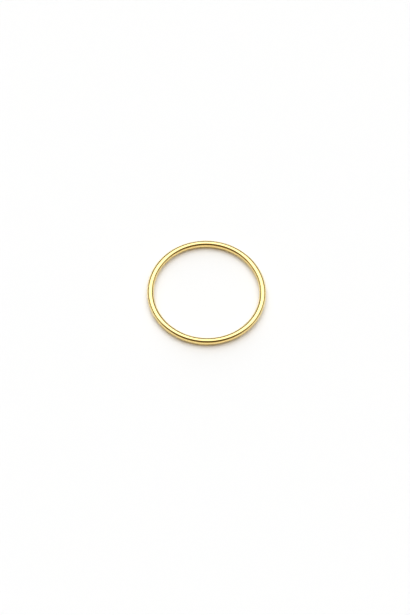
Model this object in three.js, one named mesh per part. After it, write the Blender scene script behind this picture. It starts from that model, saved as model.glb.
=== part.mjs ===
// A plain stackable finger ring: round yellow-gold wire bent to a circle, soldered and polished.
// The ring lies on its side. Millimetres, +Z up; the origin is under the ring's centre, on the surface it lies on.
import * as THREE from "three";

// Driving dimensions
const FINGER_HOLE_DIAMETER = 17.3; // US size 7
const WIRE_DIAMETER = 1.1; // measured across opposite flats of the faceted section
const WIRE_SIDES = 24; // a multiple of 4, so one flat lies on the surface and one lines the hole
const STEPS_AROUND = 128; // a multiple of 4, so the ring is as wide along X as along Y

const wireRadius = WIRE_DIAMETER / 2;
const centrelineRadius = FINGER_HOLE_DIAMETER / 2 + wireRadius;

// The section is turned round +Y, and a quarter turn about X takes that axis to +Z.
const LATHE_AXIS_TO_Z = Math.PI / 2;

// The wire's section as a closed polygon that circumscribes the round wire, lowest flat at height 0.
// Its corners run anticlockwise, which makes the lathed faces point outwards.
function wireSection() {
  const sideAngle = (2 * Math.PI) / WIRE_SIDES;
  const cornerRadius = wireRadius / Math.cos(sideAngle / 2);
  const corners = [];
  for (let i = 0; i < WIRE_SIDES; i++) {
    const angle = (i + 0.5) * sideAngle;
    corners.push(
      new THREE.Vector2(
        centrelineRadius + cornerRadius * Math.cos(angle),
        wireRadius + cornerRadius * Math.sin(angle),
      ),
    );
  }
  corners.push(corners[0].clone());
  return corners;
}

function makeBand() {
  const geometry = new THREE.LatheGeometry(wireSection(), STEPS_AROUND);
  geometry.rotateX(LATHE_AXIS_TO_Z);
  const polishedGold = new THREE.MeshStandardMaterial({
    color: 0xf7da8e,
    roughness: 0.14,
    metalness: 1,
  });
  const band = new THREE.Mesh(geometry, polishedGold);
  band.name = "band";
  return band;
}

const ring = new THREE.Group();
ring.add(makeBand());

export default ring;
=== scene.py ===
"""A plain stackable ring in polished yellow gold, lying on its side on a white table in soft light."""

import math

import bpy
import numpy as np
from mathutils import Matrix, Vector


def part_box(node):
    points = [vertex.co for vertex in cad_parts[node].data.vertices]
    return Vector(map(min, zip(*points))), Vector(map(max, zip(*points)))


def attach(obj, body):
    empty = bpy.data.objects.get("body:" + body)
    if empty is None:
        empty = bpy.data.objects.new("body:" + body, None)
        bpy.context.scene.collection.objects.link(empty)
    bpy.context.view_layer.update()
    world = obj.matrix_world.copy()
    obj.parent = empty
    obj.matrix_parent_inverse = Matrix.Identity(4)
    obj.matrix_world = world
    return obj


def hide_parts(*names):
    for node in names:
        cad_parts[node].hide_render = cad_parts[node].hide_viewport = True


MM = 0.001
MICROMETRE = 0.000001

# The photograph's frame, and the ring in it: its centre from the left and upper edges, and the circle along
# the middle of its wire as wide as it would look seen square on
FRAME_WIDTH_PX = 410
FRAME_HEIGHT_PX = 615
RING_CENTRE_PX = (206.56, 291.91)
RING_WIDTH_PX = 112.3

# The photographer's camera: a short telephoto lens, held a little askew. It sees things that are up to this
# many times nearer or farther than the ring.
LENS_MM = 110
SENSOR_MM = 36
CAMERA_ELEVATION_DEG = 60.1
CAMERA_ROLL_DEG = 2.5
CLIP_FACTOR = 100

# The ring's surface grid
STEPS_AROUND_RING = 720
STEPS_AROUND_WIRE = 96

# The studio's main light is a wide soft panel overhead. Its edges are tangents of angles from straight up,
# and so are the widths that they fade over. It dims away from its middle by the falloff.
PANEL_LEFT = -1.52
PANEL_RIGHT = 1.56
PANEL_FRONT = -0.215
PANEL_BACK = 1.0
PANEL_SIDE_EDGE = 0.99
PANEL_FRONT_EDGE = 0.45
PANEL_RADIANCE = 2.09
PANEL_FALLOFF = 0.18
# A line that is more level than this sine is treated as this steep, so it still meets the panel's plane.
LEAST_STEEPNESS = 0.001

# The room round the panel is dim and warm. Low down there is a faint cool light all round and a strong warm
# one in front. Both end at a height that is given as the sine of the angle above the table.
ROOM_COLOUR = (0.055, 0.034, 0.0)
LOW_GLOW_COLOUR = (0.9, 1.0, 1.1)
LOW_GLOW = 0.155
FRONT_GLOW_COLOUR = (1.0, 0.78, 0.5)
FRONT_GLOW = 0.9
LOW_GLOW_HEIGHT = 0.5
BACKDROP_RADIANCE = 1.0

# A broad cool fill from the back throws the soft wide shadow in front of the wire, and where the wire hides
# it the shadow turns warm. Azimuth 0 is straight behind, and a negative one is to the left of that.
FILL_COLOUR = (0.84, 0.915, 1.02)
FILL_ELEVATION_DEG = 30
FILL_AZIMUTH_DEG = -9
FILL_SPREAD_DEG = 56
FILL_STRENGTH = 2.08

FLOOR_SIZE = 6.0
FLOOR_ALBEDO = 0.863
WHITE = (1, 1, 1)

# How widely each pixel gathers light, as a soft photograph does
PIXEL_FILTER_PX = 1.65

# Polished gold: its colour head on, that colour where it is redder, and how far it scatters a mirror image
GOLD = (0.96, 0.765, 0.335)
GOLD_WARMER = (0.95, 0.735, 0.31)
POLISH_ROUGHNESS = 0.135

# Patterns in the polish, as noise that is fixed to the wire: its cells per millimetre in the wire's section,
# its cells per radian round the ring, its detail, and a shift across and up that keeps the patterns apart
DRAWN_LINES = (30, 4, 2.0, 0, 0)
HAIRLINES = (3.1, 11, 1.0, 0, 0)
WORN_PATCHES = (2, 16, 0.0, 7, 0)
HAZE = (1.1, 6, 3.0, 0, 3)
NOISE_MIDDLE = 0.5

# A hairline mark runs where its noise is this near to the middle, and only where the patches are worn.
HAIRLINE_REACH = 0.018
WORN_FROM = 0.52
WORN_FULLY_FROM = 0.62

# The gold goes from the first colour to the redder one as the haze rises from one of these to the other.
REDDER_FROM = 0.35
REDDEST_FROM = 0.65

# What each pattern does to the surface, in micrometres of height and in roughness
LINE_HEIGHT = 0.03
HAIRLINE_DEPTH = 0.12
HAZE_HEIGHT = 0.10
LINE_ROUGHNESS = 0.03
HAIRLINE_ROUGHNESS = 0.06
HAZE_ROUGHNESS = 0.08

# Blender's Mix node has sockets for each kind of value. These are the ones for colours.
MIX_FIRST_COLOUR = 6
MIX_SECOND_COLOUR = 7
MIX_COLOUR_OUT = 2


class Value:
    """One output of a shader node. Arithmetic on it adds Math nodes, or an Add Shader where it is light."""

    def __init__(self, shader, socket):
        self.shader = shader
        self.socket = socket

    def math(self, operation, *terms):
        return self.shader.add("ShaderNodeMath", {"operation": operation}, dict(enumerate(terms)))[0]

    def __add__(self, other):
        if self.socket.type == "SHADER":
            return self.shader.add("ShaderNodeAddShader", sockets={0: self, 1: other})[0]
        return self.math("ADD", self, other)

    def __radd__(self, other):
        return self.math("ADD", other, self)

    def __sub__(self, other):
        return self.math("SUBTRACT", self, other)

    def __rsub__(self, other):
        return self.math("SUBTRACT", other, self)

    def __mul__(self, other):
        return self.math("MULTIPLY", self, other)

    def __rmul__(self, other):
        return self.math("MULTIPLY", other, self)

    def __truediv__(self, other):
        return self.math("DIVIDE", self, other)

    def __rtruediv__(self, other):
        return self.math("DIVIDE", other, self)

    def __abs__(self):
        return self.math("ABSOLUTE", self)

    def at_least(self, floor):
        return self.math("MAXIMUM", self, floor)

    def root(self):
        return self.math("SQRT", self)

    def rise(self, start, end):
        """0 up to start, 1 from end on, and a smooth step between them."""
        sockets = {0: self, "From Min": start, "From Max": end}
        return self.shader.add("ShaderNodeMapRange", {"interpolation_type": "SMOOTHSTEP"}, sockets)[0]


class Outputs:
    """The outputs of one node, by number or by name, each as a Value."""

    def __init__(self, shader, node):
        self.shader = shader
        self.node = node

    def __getitem__(self, key):
        return Value(self.shader, self.node.outputs[key])


class Shader:
    """A node tree that is written as expressions."""

    def __init__(self, owner):
        owner.use_nodes = True
        self.tree = owner.node_tree
        self.tree.nodes.clear()

    def add(self, kind, settings=None, sockets=None):
        """Adds a node: its settings come first, then a value or a link for each socket that is named."""
        node = self.tree.nodes.new(kind)
        for name, setting in (settings or {}).items():
            setattr(node, name, setting)
        for key, given in (sockets or {}).items():
            if isinstance(given, Value):
                self.tree.links.new(given.socket, node.inputs[key])
            else:
                node.inputs[key].default_value = given
        return Outputs(self, node)

    def axes(self, vector):
        """A vector's three numbers."""
        parts = self.add("ShaderNodeSeparateXYZ", sockets={0: vector})
        return parts[0], parts[1], parts[2]

    def noise(self, x, y, z, w, detail):
        """Smooth noise from 0 to 1 over four numbers."""
        place = self.add("ShaderNodeCombineXYZ", sockets={0: x, 1: y, 2: z})[0]
        sockets = {"Vector": place, "W": w, "Scale": 1.0, "Detail": detail}
        return self.add("ShaderNodeTexNoise", {"noise_dimensions": "4D"}, sockets)[0]

    def mix_colours(self, share, first, second):
        """The first colour where share is 0 and the second where it is 1."""
        sockets = {"Factor": share, MIX_FIRST_COLOUR: (*first, 1), MIX_SECOND_COLOUR: (*second, 1)}
        return self.add("ShaderNodeMix", {"data_type": "RGBA"}, sockets)[MIX_COLOUR_OUT]

    def background(self, colour, strength):
        """Light from all round, of one colour."""
        return self.add("ShaderNodeBackground", sockets={"Color": (*colour, 1), "Strength": strength})[0]


def torus_surface(centreline_radius, wire_radius):
    """The wire's skin: a circle of the wire's radius carried round the centreline's circle.

    With R the centreline's radius, r the wire's, u the angle round the ring and v the angle round the wire,
    the point is ((R + r cos v) cos u, (R + r cos v) sin u, r + r sin v), so the wire rests on height 0.
    """
    u = np.linspace(0, 2 * np.pi, STEPS_AROUND_RING, endpoint=False)[:, None]
    v = np.linspace(0, 2 * np.pi, STEPS_AROUND_WIRE, endpoint=False)[None, :]
    reach = centreline_radius + wire_radius * np.cos(v)
    height = wire_radius * (1 + np.sin(v)) + 0 * u
    return np.stack([reach * np.cos(u), reach * np.sin(u), height], axis=-1)


def closed_grid_mesh(name, points):
    """A mesh from a grid of points that closes on itself in both directions, with faces pointing outwards."""
    rows, columns = points.shape[:2]
    i, j = np.meshgrid(np.arange(rows), np.arange(columns), indexing="ij")
    next_i, next_j = (i + 1) % rows, (j + 1) % columns
    corners = [i * columns + j, next_i * columns + j, next_i * columns + next_j, i * columns + next_j]
    faces = np.stack(corners, axis=-1).reshape(-1, 4)
    mesh = bpy.data.meshes.new(name)
    mesh.from_pydata(points.reshape(-1, 3), [], faces)
    mesh.shade_smooth()
    mesh.update()
    return mesh


def polished_gold(centreline_radius, wire_radius):
    """Yellow gold drawn as wire and polished along its length, with a faint haze and hairline wear marks."""
    material = bpy.data.materials.new("yellow_gold")
    shader = Shader(material)
    x, y, z = shader.axes(shader.add("ShaderNodeTexCoord")["Object"])
    # A place on the wire: across and up in its section, in millimetres, and the way round as a unit vector
    from_axis = (x * x + y * y).root()
    across = (from_axis - centreline_radius) / MM
    up = (z - wire_radius) / MM
    way_x = x / from_axis
    way_y = y / from_axis

    def pattern(per_mm, per_radian, detail, shift_across, shift_up):
        """Noise that is fixed to the wire."""
        place = (across * per_mm + shift_across, up * per_mm + shift_up)
        return shader.noise(*place, way_x * per_radian, way_y * per_radian, detail)

    # Fine lines along the wire, left by the draw plate and the polishing wheel
    lines = pattern(*DRAWN_LINES)
    # Hairline marks follow the level lines of a slow noise that is drawn out along the wire.
    off_mark = abs(pattern(*HAIRLINES) - NOISE_MIDDLE)
    marks = (1 - off_mark.rise(0.0, HAIRLINE_REACH)) * pattern(*WORN_PATCHES).rise(WORN_FROM, WORN_FULLY_FROM)
    # Haze: the polish is a little duller in some patches than in others.
    haze = pattern(*HAZE)

    lines_from_middle = lines - NOISE_MIDDLE
    haze_from_middle = haze - NOISE_MIDDLE
    height = lines_from_middle * LINE_HEIGHT - marks * HAIRLINE_DEPTH + haze * HAZE_HEIGHT
    roughness = POLISH_ROUGHNESS + haze_from_middle * HAZE_ROUGHNESS + lines_from_middle * LINE_ROUGHNESS
    roughness = roughness + marks * HAIRLINE_ROUGHNESS
    bump = shader.add("ShaderNodeBump", sockets={"Height": height, "Distance": MICROMETRE})
    metal = shader.add(
        "ShaderNodeBsdfPrincipled",
        sockets={
            "Base Color": shader.mix_colours(haze.rise(REDDER_FROM, REDDEST_FROM), GOLD, GOLD_WARMER),
            "Metallic": 1.0,
            "Roughness": roughness,
            "Normal": bump["Normal"],
        },
    )
    shader.add("ShaderNodeOutputMaterial", sockets={"Surface": metal[0]})
    return material


def ring_sizes():
    """The radius of the circle along the middle of the wire, and the wire's own, from the CAD solid's box."""
    low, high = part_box("band")
    wire_radius = (high.z - low.z) / 2
    return (high.x - low.x) / 2 - wire_radius, wire_radius


def make_band():
    """The whole ring, as wide and as thick as its CAD solid."""
    centreline_radius, wire_radius = ring_sizes()
    mesh = closed_grid_mesh("gold_band", torus_surface(centreline_radius, wire_radius))
    band = bpy.data.objects.new("gold_band", mesh)
    bpy.context.scene.collection.objects.link(band)
    band.data.materials.append(polished_gold(centreline_radius, wire_radius))
    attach(band, "root")
    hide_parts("band")


def make_floor():
    """A wide matt white table top."""
    half = FLOOR_SIZE / 2
    corners = [(-half, -half, 0), (half, -half, 0), (half, half, 0), (-half, half, 0)]
    mesh = bpy.data.meshes.new("table_top")
    mesh.from_pydata(corners, [], [(0, 1, 2, 3)])
    floor = bpy.data.objects.new("table_top", mesh)
    bpy.context.scene.collection.objects.link(floor)
    material = bpy.data.materials.new("matt_white")
    shader = Shader(material)
    white = (FLOOR_ALBEDO, FLOOR_ALBEDO, FLOOR_ALBEDO, 1)
    matt = shader.add("ShaderNodeBsdfDiffuse", sockets={"Color": white})
    shader.add("ShaderNodeOutputMaterial", sockets={"Surface": matt[0]})
    floor.data.materials.append(material)


def make_studio():
    """One wide soft panel overhead, shifted back, in a dim room with two low lights.

    The camera sees a pale backdrop in place of them.
    """
    world = bpy.data.worlds.new("studio")
    bpy.context.scene.world = world
    shader = Shader(world)
    right, back, up = shader.axes(shader.add("ShaderNodeTexCoord")["Generated"])
    low = 1 - up.rise(0.0, LOW_GLOW_HEIGHT)
    in_front = (0 - back).at_least(0)
    # Where a line from the ring meets the plane one unit above it
    steepness = up.at_least(LEAST_STEEPNESS)
    right = right / steepness
    back = back / steepness
    side = PANEL_SIDE_EDGE / 2
    front = PANEL_FRONT_EDGE / 2
    panel = (right - PANEL_LEFT).rise(-side, side) * (PANEL_RIGHT - right).rise(-side, side)
    panel = panel * (back - PANEL_FRONT).rise(-front, front) * (PANEL_BACK - back).rise(-front, front)
    from_middle = back - (PANEL_FRONT + PANEL_BACK) / 2
    glow = PANEL_RADIANCE / (1 + PANEL_FALLOFF * (right * right + from_middle * from_middle))
    light = shader.background(ROOM_COLOUR, 1.0)
    light += shader.background(LOW_GLOW_COLOUR, LOW_GLOW * low)
    light += shader.background(FRONT_GLOW_COLOUR, FRONT_GLOW * in_front * low)
    light += shader.background(WHITE, panel * glow)
    backdrop = shader.background(WHITE, BACKDROP_RADIANCE)
    seen = shader.add("ShaderNodeLightPath")["Is Camera Ray"]
    view = shader.add("ShaderNodeMixShader", sockets={0: seen, 1: light, 2: backdrop})[0]
    shader.add("ShaderNodeOutputWorld", sockets={"Surface": view})


def make_back_fill():
    """The broad low light from the back. It only lights the table: the polished gold doesn't mirror it."""
    lamp = bpy.data.lights.new("back_fill", "SUN")
    lamp.energy = FILL_STRENGTH
    lamp.color = FILL_COLOUR
    lamp.angle = math.radians(FILL_SPREAD_DEG)
    fill = bpy.data.objects.new("back_fill", lamp)
    bpy.context.scene.collection.objects.link(fill)
    elevation = math.radians(FILL_ELEVATION_DEG)
    azimuth = math.radians(FILL_AZIMUTH_DEG)
    level = math.cos(elevation)
    from_ring = Vector((level * math.sin(azimuth), level * math.cos(azimuth), math.sin(elevation)))
    fill.rotation_mode = "QUATERNION"
    fill.rotation_quaternion = from_ring.to_track_quat("Z", "Y")
    fill.visible_glossy = False
    fill.visible_camera = False


def make_camera():
    """The camera, as far off as makes the ring its width in the photograph, and aimed to put it in place."""
    centreline_radius, wire_radius = ring_sizes()
    focal_px = LENS_MM / SENSOR_MM * FRAME_HEIGHT_PX
    distance = 2 * centreline_radius * focal_px / RING_WIDTH_PX
    lens = bpy.data.cameras.new("camera")
    lens.lens = LENS_MM
    lens.sensor_width = SENSOR_MM
    lens.clip_start = distance / CLIP_FACTOR
    lens.clip_end = CLIP_FACTOR * distance
    camera = bpy.data.objects.new("camera", lens)
    bpy.context.scene.collection.objects.link(camera)
    elevation = math.radians(CAMERA_ELEVATION_DEG)
    back = Vector((0, -math.cos(elevation), math.sin(elevation)))
    ring_centre = Vector((0, 0, wire_radius))
    right_px = RING_CENTRE_PX[0] - FRAME_WIDTH_PX / 2
    up_px = FRAME_HEIGHT_PX / 2 - RING_CENTRE_PX[1]
    looking = back.to_track_quat("Z", "Y").to_matrix()
    rolled = looking @ Matrix.Rotation(math.radians(CAMERA_ROLL_DEG), 3, "Z")
    # The ring's centre is this way from the camera, in the camera's own axes.
    to_ring = Vector((right_px, up_px, -focal_px)).normalized()
    aim = rolled @ to_ring.rotation_difference(Vector((0, 0, -1))).to_matrix()
    camera.location = ring_centre + back * distance
    camera.rotation_mode = "QUATERNION"
    camera.rotation_quaternion = aim.to_quaternion()
    bpy.context.scene.camera = camera


def set_picture():
    """A plain photographic response that lets the white table reach paper white."""
    cycles = bpy.context.scene.cycles
    cycles.filter_width = PIXEL_FILTER_PX
    # The light that the gold throws on the table keeps its warm bright core beside the wire.
    cycles.blur_glossy = 0.0
    view = bpy.context.scene.view_settings
    view.view_transform = "Standard"
    view.look = "None"


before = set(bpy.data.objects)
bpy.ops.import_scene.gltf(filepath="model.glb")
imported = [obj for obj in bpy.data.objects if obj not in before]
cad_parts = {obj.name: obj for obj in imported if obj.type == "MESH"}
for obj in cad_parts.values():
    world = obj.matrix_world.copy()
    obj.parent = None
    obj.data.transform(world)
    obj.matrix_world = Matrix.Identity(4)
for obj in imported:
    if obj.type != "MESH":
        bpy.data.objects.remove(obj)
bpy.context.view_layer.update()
make_camera()
make_band()
make_floor()
make_studio()
make_back_fill()
set_picture()
